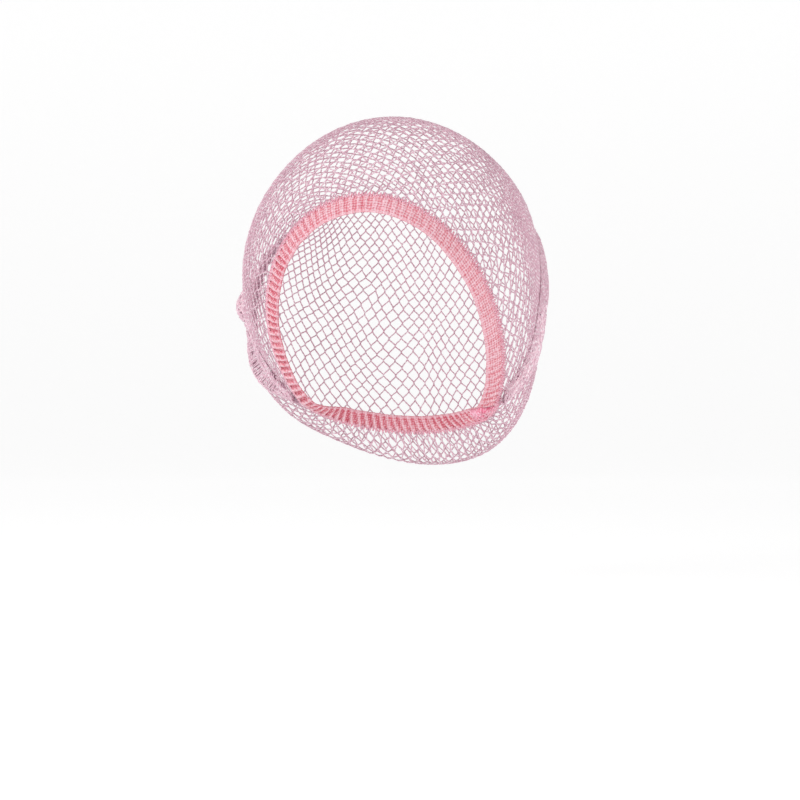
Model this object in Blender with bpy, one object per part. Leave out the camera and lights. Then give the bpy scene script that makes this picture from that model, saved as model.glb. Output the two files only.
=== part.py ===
# A hairnet in the form it has when worn: a net bag, its elastic band and its gathered side seams.
# Metres, +Z up. The face side looks to -Y and the wearer's left is +X.
# The origin is the inside of the crown's top, where the bag hangs on the hair.
# The net is a bag folded at the back and sewn at both sides. A point of it has two numbers:
# u runs from the right seam (-1) to the left seam (1), and v runs from the brow (0) over the
# crown and down the back to the nape (1). Both ends of a seam's turn meet behind an ear.

import bpy
import bmesh
import math
import numpy as np

# Driving sizes of the worn bag
HALF_WIDTH = 0.092          # middle plane to the widest place over the ears
BAG_DEPTH = 0.190           # brow to the back of the bag
BAG_HEIGHT = 0.220          # crown to the lowest point of the pouch at the nape

# Net
NET_THICKNESS = 0.0016
STRAND_WIDTH = 0.0072       # least width of a strand of the coarse net
GAP_WIDTH = 0.0200          # most that a gap is wide, where the net is stretched
DIAMONDS_ACROSS = 6
DIAMONDS_ALONG = 10         # an even number, so that the rows meet at the side seams
CENTRE_CROWDING = 1.12      # above 1 the diamonds are narrower near the middle of the bag

# Elastic band
BAND_WIDTH = 0.0122
BAND_CREST = 0.0029         # thickness at the crest of a rib
BAND_VALLEY = 0.0019        # thickness between two ribs
RIB_PITCH = 0.0054
BAND_TURN = 0.022           # length over which the band turns at a corner behind an ear

# Side seams
GATHER_WIDTH = 0.0150       # widest place of the strip of gathers
GATHER_HEIGHT = 0.0044      # how far the gathers stand off the net
TUFT_HEIGHT = 0.0135        # how far the loose tuft on the right stands off the net
RUFFLE_PITCH = 0.0080
RUFFLE_SWING = 0.0014       # sideways swing of the ruffles

# Join of the band
JOIN_LENGTH = 0.024
JOIN_HEIGHT = 0.0058
JOIN_START = 0.003          # distance from the corner behind the ear to the join

CLEARANCE = 0.0003          # between touching pieces
SEAT_CLEARANCE = 0.0013     # between the faceted net and what lies on it

# Line of the bag in its middle plane, from brow to nape, all lengths as shares:
# v, back as a share of BAG_DEPTH, down as a share of BAG_HEIGHT, left as a share of HALF_WIDTH
MIDDLE_LINE = (
    (0.000, -0.453, 0.259, 0.087),
    (0.130, -0.300, 0.086, 0.033),
    (0.260, 0.011, 0.000, 0.011),
    (0.380, 0.274, 0.055, 0.0),
    (0.500, 0.453, 0.191, 0.0),
    (0.644, 0.547, 0.432, 0.0),
    (0.776, 0.547, 0.682, 0.0),
    (0.875, 0.522, 0.881, 0.040),
    (0.930, 0.466, 0.980, 0.070),
    (0.965, 0.398, 0.976, 0.055),
    (1.000, 0.326, 0.891, 0.0),
)

# Line of a side seam, from the corner behind the ear to the top corner of the bag:
# w, out as a share of HALF_WIDTH, back as a share of BAG_DEPTH, down as a share of BAG_HEIGHT
SEAM_LINE = (
    (0.00, 0.696, 0.095, 0.800),
    (0.22, 0.902, 0.063, 0.691),
    (0.43, 0.978, 0.053, 0.564),
    (0.60, 0.989, 0.084, 0.464),
    (0.76, 0.935, 0.147, 0.364),
    (1.00, 0.772, 0.274, 0.264),
)

# Roundness of the section from seam to seam: v, half angle of its ellipse in degrees
ROUNDNESS = (
    (0.000, 118.8),
    (0.050, 114.0),
    (0.130, 107.0),
    (0.260, 92.0),
    (0.500, 88.0),
    (0.644, 90.0),
    (0.776, 92.0),
    (0.900, 92.0),
    (1.000, 78.0),
)

# Swellings of the filled bag: u and v of the middle, reach in u and in v,
# outward as a share of HALF_WIDTH
SWELLINGS = (
    (-0.84, 0.90, 0.30, 0.07, 0.120),
    (-0.80, 0.22, 0.30, 0.16, 0.043),
)
SWELLING_FADE = 0.06        # v over which a swelling fades out towards the band
FOLD_ROUNDING = 0.15        # how softly the bag turns at the top corners

# Gathers along a seam: w, share of GATHER_WIDTH, share of GATHER_HEIGHT,
# share of TUFT_HEIGHT on the right
GATHER_ROWS = (
    (0.030, 0.62, 0.80, 0.25),
    (0.150, 1.00, 1.00, 0.25),
    (0.300, 0.92, 1.00, 0.30),
    (0.420, 0.72, 0.95, 0.55),
    (0.500, 0.60, 0.90, 1.00),
    (0.580, 0.54, 0.85, 0.80),
    (0.680, 0.46, 0.75, 0.30),
    (0.850, 0.36, 0.60, 0.20),
    (0.970, 0.25, 0.40, 0.13),
)

# Section of the gathers: across as a share of the half width, height as a share of the height
GATHER_SECTION = ((-1.0, 0.0), (-0.72, 0.72), (-0.05, 1.0), (0.68, 0.78), (1.0, 0.0))

# Folds of the join: along as a share of JOIN_LENGTH, height as a share of JOIN_HEIGHT,
# width as a share of BAND_WIDTH
JOIN_ROWS = (
    (0.00, 0.18, 0.56),
    (0.10, 0.70, 0.70),
    (0.22, 0.42, 0.72),
    (0.36, 1.00, 0.80),
    (0.50, 0.55, 0.76),
    (0.66, 0.92, 0.78),
    (0.80, 0.46, 0.72),
    (0.90, 0.66, 0.68),
    (1.00, 0.18, 0.52),
)

# Section of the join, which bulges over the band's free edge: across as a share of the half
# width, height as a share of the height
JOIN_SECTION = ((-1.0, 0.0), (-0.62, 0.45), (-0.05, 0.95), (0.6, 1.0), (1.3, 0.62), (1.5, 0.0))

BAG_CENTRE = (0.0, 0.026, 0.455)   # out, back and down as shares, the middle of the hollow
MIDDLE_OF_V = 0.5
LOOP_SAMPLES = 720
STRAND_PARTS = 2            # straight parts of a strand between two crossings
EDGE_PARTS = 8              # straight parts of the rim or a seam between two crossings
DIFFERENCE = 0.002          # step in u or v for a slope


def spline(rows, column, t):
    """Value of a table's column at t, on the natural cubic through its rows."""
    knots = np.array([row[0] for row in rows])
    values = np.array([row[column] for row in rows])
    steps = np.diff(knots)
    count = len(knots)
    matrix = np.eye(count)
    bends = np.zeros(count)
    for i in range(1, count - 1):
        matrix[i, i - 1] = steps[i - 1]
        matrix[i, i] = 2 * (steps[i - 1] + steps[i])
        matrix[i, i + 1] = steps[i]
        slope_after = (values[i + 1] - values[i]) / steps[i]
        slope_before = (values[i] - values[i - 1]) / steps[i - 1]
        bends[i] = 6 * (slope_after - slope_before)
    curvature = np.linalg.solve(matrix, bends)
    t = np.clip(np.asarray(t, float), knots[0], knots[-1])
    i = np.clip(np.searchsorted(knots, t, side="right") - 1, 0, count - 2)
    before = (knots[i + 1] - t) / steps[i]
    after = (t - knots[i]) / steps[i]
    curve = (before**3 - before) * curvature[i] + (after**3 - after) * curvature[i + 1]
    return before * values[i] + after * values[i + 1] + curve * steps[i]**2 / 6


def normalised(vectors):
    return vectors / np.linalg.norm(vectors, axis=-1, keepdims=True)


def seam_share(v):
    """Place along the side seam, 0 behind the ear and 1 at the top corner, of a row v."""
    soft_end = math.hypot(1, FOLD_ROUNDING)
    away = np.hypot(1 - 2 * v, FOLD_ROUNDING)
    return (soft_end - away) / (soft_end - FOLD_ROUNDING)


def bag_centre():
    out, back, down = BAG_CENTRE
    return np.array([out * HALF_WIDTH, back * BAG_DEPTH, -down * BAG_HEIGHT])


def bag(u, v):
    """Point of the net's middle surface."""
    u, v = np.broadcast_arrays(np.asarray(u, float), np.asarray(v, float))
    w = seam_share(v)
    mid_back = spline(MIDDLE_LINE, 1, v) * BAG_DEPTH
    mid_down = spline(MIDDLE_LINE, 2, v) * BAG_HEIGHT
    mid_left = spline(MIDDLE_LINE, 3, v) * HALF_WIDTH
    seam_out = spline(SEAM_LINE, 1, w) * HALF_WIDTH
    seam_back = spline(SEAM_LINE, 2, w) * BAG_DEPTH
    seam_down = spline(SEAM_LINE, 3, w) * BAG_HEIGHT
    half_angle = np.radians(spline(ROUNDNESS, 1, v))
    reach = np.hypot(mid_back - seam_back, mid_down - seam_down)
    rise_back = (mid_back - seam_back) / reach
    rise_down = (mid_down - seam_down) / reach
    ellipse_width = seam_out / np.sin(half_angle)
    ellipse_foot = -reach * np.cos(half_angle) / (1 - np.cos(half_angle))
    angle = half_angle * u
    rise = ellipse_foot + (reach - ellipse_foot) * np.cos(angle)
    skew = ((np.cos(angle) - np.cos(half_angle)) / (1 - np.cos(half_angle)))**2
    points = np.stack([
        ellipse_width * np.sin(angle) + mid_left * skew,
        seam_back + rise_back * rise,
        -(seam_down + rise_down * rise),
    ], axis=-1)
    outward = normalised(points - bag_centre())
    fade = np.clip(v / SWELLING_FADE, 0, 1) * np.clip((1 - v) / SWELLING_FADE, 0, 1)
    for u_mid, v_mid, u_reach, v_reach, share in SWELLINGS:
        bell = np.exp(-((u - u_mid) / u_reach)**2 - ((v - v_mid) / v_reach)**2)
        points = points + outward * (bell * fade * share * HALF_WIDTH)[..., None]
    points[..., 2] += NET_THICKNESS / 2
    return points


def bag_normal(u, v):
    """Outward normal of the net at a point."""
    u, v = np.broadcast_arrays(np.asarray(u, float), np.asarray(v, float))
    across = bag(np.minimum(u + DIFFERENCE, 1), v) - bag(np.maximum(u - DIFFERENCE, -1), v)
    along = bag(u, np.minimum(v + DIFFERENCE, 1)) - bag(u, np.maximum(v - DIFFERENCE, 0))
    normal = normalised(np.cross(across, along))
    return normal


def material(name, colour, roughness):
    made = bpy.data.materials.new(name)
    made.use_nodes = True
    shader = made.node_tree.nodes["Principled BSDF"]
    shader.inputs["Base Color"].default_value = (*colour, 1)
    shader.inputs["Roughness"].default_value = roughness
    shader.inputs["Metallic"].default_value = 0.0
    return made


def add_object(name, mesh_maker, colour, roughness):
    """New object whose mesh is the closed bmesh that mesh_maker fills."""
    shape = bmesh.new()
    mesh_maker(shape)
    bmesh.ops.recalc_face_normals(shape, faces=shape.faces)
    mesh = bpy.data.meshes.new(name)
    shape.to_mesh(mesh)
    shape.free()
    made = bpy.data.objects.new(name, mesh)
    mesh.materials.append(material(name, colour, roughness))
    bpy.context.scene.collection.objects.link(made)
    mesh.shade_smooth()
    mesh.set_sharp_from_angle(angle=math.radians(35))
    return made


def loft(shape, sections, closed):
    """Skin a run of sections of the same number of points, with end caps if it is open."""
    rings = [[shape.verts.new(point) for point in section] for section in sections]
    pairs = list(zip(rings, rings[1:]))
    if closed:
        pairs.append((rings[-1], rings[0]))
    for ring, after in pairs:
        for i in range(len(ring)):
            j = (i + 1) % len(ring)
            shape.faces.new((ring[i], ring[j], after[j], after[i]))
    if not closed:
        shape.faces.new(rings[0])
        shape.faces.new(list(reversed(rings[-1])))


# Net bag

def lattice_place(a, b):
    """The u and v of a place on the diamond lattice, a across and b along."""
    across = a / DIAMONDS_ACROSS - 1
    u = np.sign(across) * np.abs(across)**CENTRE_CROWDING
    return float(u), b / (2 * DIAMONDS_ALONG)


def diamond_cells():
    """Corners of each diamond or half diamond, in order round it."""
    last_a = 2 * DIAMONDS_ACROSS
    last_b = 2 * DIAMONDS_ALONG
    for a in range(last_a + 1):
        for b in range(last_b + 1):
            if (a + b) % 2 == 0:
                continue
            round_it = ((a + 1, b), (a, b + 1), (a - 1, b), (a, b - 1))
            yield [(p, q) for p, q in round_it if 0 <= p <= last_a and 0 <= q <= last_b]


def welded(a, b):
    """One key for a lattice place: the seam's two edges share their places."""
    if a in (0, 2 * DIAMONDS_ACROSS):
        return a, min(b, 2 * DIAMONDS_ALONG - b)
    return a, b


def net_mesh(shape):
    """Rings of net round each gap, as one sheet without thickness."""
    known = {}

    def vertex(a, b):
        key = welded(a, b)
        if key not in known:
            known[key] = shape.verts.new(bag(*lattice_place(*key)))
        return known[key]

    for corners in diamond_cells():
        points = np.array([bag(*lattice_place(a, b)) for a, b in corners])
        following = np.roll(points, -1, axis=0)
        sides = np.linalg.norm(following - points, axis=1)
        on_seam = sum(a in (0, 2 * DIAMONDS_ACROSS) for a, b in corners) > 1
        opposite = np.roll(sides, -1) if len(corners) == 3 else np.ones(len(corners))
        share = opposite / opposite.sum()
        centre = np.array(corners, float).T @ share
        middle = points.mean(axis=0)
        area = np.linalg.norm(np.cross(points - middle, following - middle), axis=1).sum() / 2
        inner_radius = 2 * area / sides.sum()
        open_share = min(1 - STRAND_WIDTH / 2 / inner_radius, GAP_WIDTH / 2 / inner_radius)
        outline = []
        for place, after in zip(corners, corners[1:] + corners[:1]):
            on_edge = place[0] == after[0] or place[1] == after[1]
            parts = EDGE_PARTS if on_edge else STRAND_PARTS
            outline += [
                tuple(start + (end - start) * k / parts for start, end in zip(place, after))
                for k in range(parts)
            ]
        outer = [vertex(a, b) for a, b in outline]
        if on_seam:
            hub = shape.verts.new(bag(*lattice_place(*centre)))
            for start, end in zip(outer, outer[1:] + outer[:1]):
                shape.faces.new((start, end, hub))
            continue
        inner = []
        for a, b in outline:
            gap_a, gap_b = centre + (np.array([a, b]) - centre) * open_share
            inner.append(shape.verts.new(bag(*lattice_place(gap_a, gap_b))))
        for i in range(len(outline)):
            j = (i + 1) % len(outline)
            shape.faces.new((outer[i], outer[j], inner[j], inner[i]))


def add_net():
    net = add_object("crown_net", net_mesh, (0.72, 0.55, 0.60), 0.75)
    wall = net.modifiers.new("wall", "SOLIDIFY")
    wall.thickness = NET_THICKNESS
    wall.offset = 0
    wall.use_even_offset = False
    wall.use_rim = True
    return net


# Elastic band

def smoothed(values, distance, reach):
    """Average of values round a closed loop, over a length reach to each side."""
    length = distance[-1]
    offsets = distance[:-1, None] - distance[None, :-1]
    offsets = np.abs((offsets + length / 2) % length - length / 2)
    weights = np.clip(1 - offsets / reach, 0, None)
    return weights @ values / weights.sum(axis=1, keepdims=True)


def band_loop():
    """Dense samples of the bag's rim: distance along it, place, outward and away from the net.

    The loop runs over the brow from right to left, and back along the nape.
    """
    half = LOOP_SAMPLES // 2
    forth = np.linspace(-1, 1, half, endpoint=False)
    u = np.concatenate([forth, -forth])
    v = np.concatenate([np.zeros(half), np.ones(half)])
    points = bag(u, v)
    closed = np.vstack([points, points[:1]])
    steps = np.linalg.norm(np.diff(closed, axis=0), axis=1)
    distance = np.concatenate([[0], np.cumsum(steps)])
    outward = normalised(smoothed(bag_normal(u, v), distance, BAND_TURN))
    tangent = normalised(np.roll(points, -1, axis=0) - np.roll(points, 1, axis=0))
    away = normalised(smoothed(normalised(np.cross(tangent, outward)), distance, BAND_TURN))
    outward = normalised(outward - away * (outward * away).sum(axis=1, keepdims=True))
    return distance, points, outward, away


def along_loop(loop, places):
    """Place, outward and away directions at distances along the rim."""
    distance, *columns = loop
    places = np.asarray(places, float) % distance[-1]
    found = []
    for column in columns:
        closed = np.vstack([column, column[:1]])
        found.append(np.stack([np.interp(places, distance, closed[:, k]) for k in range(3)], axis=1))
    points, outward, away = found
    return points, normalised(outward), normalised(away)


def band_places(loop):
    """Distances of the band's crests and valleys, alternating."""
    length = loop[0][-1]
    ribs = round(length / RIB_PITCH)
    return np.arange(2 * ribs) * length / (2 * ribs)


def corner_distance(loop):
    """Distance along the rim at the corner behind the left ear."""
    return loop[0][LOOP_SAMPLES // 2]


def band_mesh(shape):
    loop = band_loop()
    points, outward, away = along_loop(loop, band_places(loop))
    sections = []
    for i, (point, out, across) in enumerate(zip(points, outward, away)):
        half = (BAND_CREST if i % 2 == 0 else BAND_VALLEY) / 2
        near = point + across * CLEARANCE
        far = near + across * BAND_WIDTH
        mid = (near + far) / 2
        sections.append((
            near - out * BAND_VALLEY / 2,
            near + out * BAND_VALLEY / 2,
            mid + out * half,
            far + out * BAND_VALLEY / 2,
            far - out * BAND_VALLEY / 2,
        ))
    loft(shape, sections, closed=True)


def join_mesh(shape):
    loop = band_loop()
    start = corner_distance(loop) + JOIN_START
    places = [start + share * JOIN_LENGTH for share, _, _ in JOIN_ROWS]
    points, outward, away = along_loop(loop, places)
    foot = BAND_CREST / 2 + CLEARANCE
    sections = []
    for row, point, out, across in zip(JOIN_ROWS, points, outward, away):
        _, height_share, width_share = row
        middle = point + across * (CLEARANCE + BAND_WIDTH / 2) + out * foot
        half_width = width_share * BAND_WIDTH / 2
        height = height_share * JOIN_HEIGHT
        sections.append([
            middle + across * side * half_width + out * up * height
            for side, up in JOIN_SECTION
        ])
    loft(shape, sections, closed=False)


# Side seams

def seam_row(w):
    """The front row v whose end lies at the place w along the seam."""
    rows = np.linspace(0, MIDDLE_OF_V, LOOP_SAMPLES)
    return float(np.interp(w, seam_share(rows), rows))


def beside_seam(side, w, across):
    """Point and normal of the net at a distance across from the seam, front negative."""
    v = seam_row(w)
    if across > 0:
        v = 1 - v
    edge = bag(side, v)
    speed = np.linalg.norm(edge - bag(side * (1 - DIFFERENCE), v)) / DIFFERENCE
    u = side * (1 - abs(across) / speed)
    return bag(u, v), bag_normal(u, v)


def gather_mesh(side, height_column, height_size):
    def fill(shape):
        length = np.linalg.norm(np.diff([bag(side, seam_row(w)) for w in np.linspace(0, 1, 60)], axis=0),
                                axis=1).sum()
        count = round(length / RUFFLE_PITCH) * 4
        first, last = GATHER_ROWS[0][0], GATHER_ROWS[-1][0]
        sections = []
        for step in range(count + 1):
            w = first + (last - first) * step / count
            half_width = spline(GATHER_ROWS, 1, w) * GATHER_WIDTH / 2
            height = spline(GATHER_ROWS, height_column, w) * height_size
            swing = RUFFLE_SWING * math.sin(step * math.pi / 2)
            section = []
            for across_share, up_share in GATHER_SECTION:
                across = across_share * half_width + swing * up_share
                point, normal = beside_seam(side, w, across)
                lift = NET_THICKNESS / 2 + SEAT_CLEARANCE + up_share * height
                section.append(point + normal * lift)
            sections.append(section)
        loft(shape, sections, closed=False)
    return fill


def build():
    for old in list(bpy.data.objects):
        bpy.data.objects.remove(old, do_unlink=True)
    pink = (0.86, 0.30, 0.42)
    pale_pink = (0.80, 0.52, 0.62)
    add_net()
    add_object("elastic_band", band_mesh, pink, 0.85)
    add_object("side_gather_left", gather_mesh(1, 2, GATHER_HEIGHT), pale_pink, 0.8)
    add_object("side_gather_right", gather_mesh(-1, 3, TUFT_HEIGHT), pale_pink, 0.8)
    add_object("band_join", join_mesh, pink, 0.85)


build()
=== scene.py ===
# Looks of the worn hairnet: fine net, bunched side seams, ribbed knitted band and its join.
import math
import bpy
import numpy as np
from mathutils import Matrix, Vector


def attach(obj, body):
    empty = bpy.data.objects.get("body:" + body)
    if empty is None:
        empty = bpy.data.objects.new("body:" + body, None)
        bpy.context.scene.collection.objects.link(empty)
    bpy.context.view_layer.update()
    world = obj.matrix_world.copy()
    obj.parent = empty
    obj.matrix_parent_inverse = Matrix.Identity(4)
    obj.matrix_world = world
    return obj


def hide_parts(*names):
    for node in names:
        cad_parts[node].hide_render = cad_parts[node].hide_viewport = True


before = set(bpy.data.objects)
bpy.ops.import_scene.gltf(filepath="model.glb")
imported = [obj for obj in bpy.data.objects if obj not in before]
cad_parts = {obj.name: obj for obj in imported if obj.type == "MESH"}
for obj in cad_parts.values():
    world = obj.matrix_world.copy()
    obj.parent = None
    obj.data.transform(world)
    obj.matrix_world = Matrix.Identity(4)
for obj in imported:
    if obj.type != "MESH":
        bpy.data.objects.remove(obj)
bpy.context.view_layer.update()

random = np.random.default_rng(11)

# Sizes of the bag, as its solids have them
HALF_WIDTH = 0.092
BAG_DEPTH = 0.190
BAG_HEIGHT = 0.220
NET_THICKNESS = 0.0016
BAND_WIDTH = 0.0122
BAND_CREST = 0.0029
BAND_VALLEY = 0.0019
BAND_TURN = 0.022
RIB_PITCH = 0.0054
GATHER_WIDTH = 0.0150
GATHER_HEIGHT = 0.0044
TUFT_HEIGHT = 0.0135
JOIN_LENGTH = 0.024
JOIN_HEIGHT = 0.0058
JOIN_START = 0.003
CLEARANCE = 0.0003
LOOP_SAMPLES = 720
BAG_CENTRE = (0.0, 0.026, 0.455)
SWELLING_FADE = 0.06
FOLD_ROUNDING = 0.15

# v, back, down and left as shares of depth, height and half width
MIDDLE_LINE = (
    (0.000, -0.453, 0.259, 0.087),
    (0.130, -0.300, 0.086, 0.033),
    (0.260, 0.011, 0.000, 0.011),
    (0.380, 0.274, 0.055, 0.0),
    (0.500, 0.453, 0.191, 0.0),
    (0.644, 0.547, 0.432, 0.0),
    (0.776, 0.547, 0.682, 0.0),
    (0.875, 0.522, 0.881, 0.040),
    (0.930, 0.466, 0.980, 0.070),
    (0.965, 0.398, 0.976, 0.055),
    (1.000, 0.326, 0.891, 0.0),
)
# w, out, back and down as shares of half width, depth and height
SEAM_LINE = (
    (0.00, 0.696, 0.095, 0.800),
    (0.22, 0.902, 0.063, 0.691),
    (0.43, 0.978, 0.053, 0.564),
    (0.60, 0.989, 0.084, 0.464),
    (0.76, 0.935, 0.147, 0.364),
    (1.00, 0.772, 0.274, 0.264),
)
# v, half angle of the section's ellipse in degrees
ROUNDNESS = (
    (0.000, 118.8),
    (0.050, 114.0),
    (0.130, 107.0),
    (0.260, 92.0),
    (0.500, 88.0),
    (0.644, 90.0),
    (0.776, 92.0),
    (0.900, 92.0),
    (1.000, 78.0),
)
# u, v, reach in u, reach in v, outward share of the half width
SWELLINGS = (
    (-0.84, 0.90, 0.30, 0.07, 0.120),
    (-0.80, 0.22, 0.30, 0.16, 0.043),
)
# w, share of the gathers' width, of their height, and of the tuft's height on the right
GATHER_ROWS = (
    (0.030, 0.62, 0.80, 0.25),
    (0.150, 1.00, 1.00, 0.25),
    (0.300, 0.92, 1.00, 0.30),
    (0.420, 0.72, 0.95, 0.55),
    (0.500, 0.60, 0.90, 1.00),
    (0.580, 0.54, 0.85, 0.80),
    (0.680, 0.46, 0.75, 0.30),
    (0.850, 0.36, 0.60, 0.20),
    (0.970, 0.25, 0.40, 0.13),
)
# along the join, share of its height, share of its width
JOIN_ROWS = (
    (0.00, 0.18, 0.56),
    (0.10, 0.70, 0.70),
    (0.22, 0.42, 0.72),
    (0.36, 1.00, 0.80),
    (0.50, 0.55, 0.76),
    (0.66, 0.92, 0.78),
    (0.80, 0.46, 0.72),
    (0.90, 0.66, 0.68),
    (1.00, 0.18, 0.52),
)
JOIN_SECTION = ((-1.0, 0.0), (-0.62, 0.45), (-0.05, 0.95), (0.6, 1.0), (1.3, 0.62), (1.5, 0.0))

# Fine net
DIAMONDS_ACROSS = 38
DIAMONDS_ALONG = 42
CENTRE_CROWDING = 1.06
STRAND_RADIUS = 0.00046
STRAND_SIDES = 5
PLY_TURN = 0.0026           # length of one turn of the two plies of a strand

# Knit of the band
STITCH_ALONG = 0.0019
STITCH_ACROSS = 0.0017


def spline(rows, column, t):
    """Smooth curve through a column of a table, over its first column."""
    knots = np.array([row[0] for row in rows])
    values = np.array([row[column] for row in rows])
    steps = np.diff(knots)
    count = len(knots)
    slopes = np.diff(values) / steps
    matrix = np.eye(count)
    bends = np.zeros(count)
    for i in range(1, count - 1):
        matrix[i, i - 1] = steps[i - 1]
        matrix[i, i] = 2 * (steps[i - 1] + steps[i])
        matrix[i, i + 1] = steps[i]
        bends[i] = 6 * (slopes[i] - slopes[i - 1])
    curvature = np.linalg.solve(matrix, bends)
    t = np.clip(np.asarray(t, float), knots[0], knots[-1])
    i = np.clip(np.searchsorted(knots, t, side="right") - 1, 0, count - 2)
    before = (knots[i + 1] - t) / steps[i]
    after = (t - knots[i]) / steps[i]
    curve = (before**3 - before) * curvature[i] + (after**3 - after) * curvature[i + 1]
    return before * values[i] + after * values[i + 1] + curve * steps[i]**2 / 6


def linear(rows, column, t):
    """Straight runs through a column of a table, over its first column."""
    return np.interp(t, [row[0] for row in rows], [row[column] for row in rows])


def normalised(vectors):
    return vectors / np.maximum(np.linalg.norm(vectors, axis=-1, keepdims=True), 1e-12)


def seam_share(v):
    """Place along the side seam, 0 behind the ear and 1 at the top corner, of a row v."""
    soft_end = math.hypot(1, FOLD_ROUNDING)
    return (soft_end - np.hypot(1 - 2 * v, FOLD_ROUNDING)) / (soft_end - FOLD_ROUNDING)


def bag(u, v):
    """Point of the net's middle surface, u from right seam to left, v from brow to nape."""
    u, v = np.broadcast_arrays(np.asarray(u, float), np.asarray(v, float))
    w = seam_share(v)
    mid_back = spline(MIDDLE_LINE, 1, v) * BAG_DEPTH
    mid_down = spline(MIDDLE_LINE, 2, v) * BAG_HEIGHT
    mid_left = spline(MIDDLE_LINE, 3, v) * HALF_WIDTH
    seam_out = spline(SEAM_LINE, 1, w) * HALF_WIDTH
    seam_back = spline(SEAM_LINE, 2, w) * BAG_DEPTH
    seam_down = spline(SEAM_LINE, 3, w) * BAG_HEIGHT
    half_angle = np.radians(spline(ROUNDNESS, 1, v))
    reach = np.hypot(mid_back - seam_back, mid_down - seam_down)
    rise_back = (mid_back - seam_back) / reach
    rise_down = (mid_down - seam_down) / reach
    ellipse_width = seam_out / np.sin(half_angle)
    ellipse_foot = -reach * np.cos(half_angle) / (1 - np.cos(half_angle))
    angle = half_angle * u
    rise = ellipse_foot + (reach - ellipse_foot) * np.cos(angle)
    skew = ((np.cos(angle) - np.cos(half_angle)) / (1 - np.cos(half_angle)))**2
    points = np.stack([
        ellipse_width * np.sin(angle) + mid_left * skew,
        seam_back + rise_back * rise,
        -(seam_down + rise_down * rise),
    ], axis=-1)
    out, back, down = BAG_CENTRE
    centre = np.array([out * HALF_WIDTH, back * BAG_DEPTH, -down * BAG_HEIGHT])
    outward = normalised(points - centre)
    fade = np.clip(v / SWELLING_FADE, 0, 1) * np.clip((1 - v) / SWELLING_FADE, 0, 1)
    for u_mid, v_mid, u_reach, v_reach, share in SWELLINGS:
        bell = np.exp(-((u - u_mid) / u_reach)**2 - ((v - v_mid) / v_reach)**2)
        points = points + outward * (bell * fade * share * HALF_WIDTH)[..., None]
    points[..., 2] += NET_THICKNESS / 2
    return points


def bag_normal(u, v, step=0.002):
    u, v = np.broadcast_arrays(np.asarray(u, float), np.asarray(v, float))
    across = bag(np.minimum(u + step, 1), v) - bag(np.maximum(u - step, -1), v)
    along = bag(u, np.minimum(v + step, 1)) - bag(u, np.maximum(v - step, 0))
    return normalised(np.cross(across, along))


def hash_noise(points, scale, seed):
    """Smooth value noise from -1 to 1 at points of any number of axes, repeatable."""
    points = np.asarray(points, float) * scale
    cell = np.floor(points).astype(np.int64)
    part = points - cell
    part = part * part * (3 - 2 * part)
    total = np.zeros(points.shape[:-1])
    axes = points.shape[-1]
    primes = np.array([73856093, 19349663, 83492791][:axes])
    for corner in range(2**axes):
        offset = np.array([(corner >> k) & 1 for k in range(axes)])
        mixed = ((cell + offset) * primes).sum(axis=-1) + seed * 7919
        mixed = (mixed ^ (mixed >> 13)) * 1274126177
        value = ((mixed ^ (mixed >> 16)) & 65535) / 32767.5 - 1
        weight = np.prod(np.where(offset, part, 1 - part), axis=-1)
        total += weight * value
    return total


def wander(along, row, seed):
    """Noise along a line of places; each line has a row of its own."""
    return hash_noise(np.stack([along, np.full_like(along, row)], axis=-1), 1, seed)


# Meshes

def make_object(name, points, faces, uv, tone):
    """Mesh object from arrays: groups of faces, and one uv and one colour per vertex."""
    mesh = bpy.data.meshes.new(name)
    corners = np.concatenate([group.ravel() for group in faces])
    sizes = np.concatenate([np.full(len(group), group.shape[1]) for group in faces])
    starts = np.concatenate([[0], np.cumsum(sizes)[:-1]])
    mesh.vertices.add(len(points))
    mesh.vertices.foreach_set("co", np.asarray(points, np.float32).ravel())
    mesh.loops.add(len(corners))
    mesh.loops.foreach_set("vertex_index", corners.astype(np.int32))
    mesh.polygons.add(len(sizes))
    mesh.polygons.foreach_set("loop_start", starts.astype(np.int32))
    mesh.update(calc_edges=True)
    layer = mesh.uv_layers.new(name="UVMap")
    layer.data.foreach_set("uv", np.asarray(uv, np.float32)[corners].ravel())
    layer = mesh.color_attributes.new(name="tone", type="FLOAT_COLOR", domain="POINT")
    rgba = np.ones((len(points), 4), np.float32)
    rgba[:, :3] = tone
    layer.data.foreach_set("color", rgba.ravel())
    mesh.validate()
    mesh.shade_smooth()
    made = bpy.data.objects.new(name, mesh)
    bpy.context.scene.collection.objects.link(made)
    return made


def path_distance(path):
    """Distance of each point of a path from its start."""
    return np.concatenate([[0], np.cumsum(np.linalg.norm(np.diff(path, axis=0), axis=1))])


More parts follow.
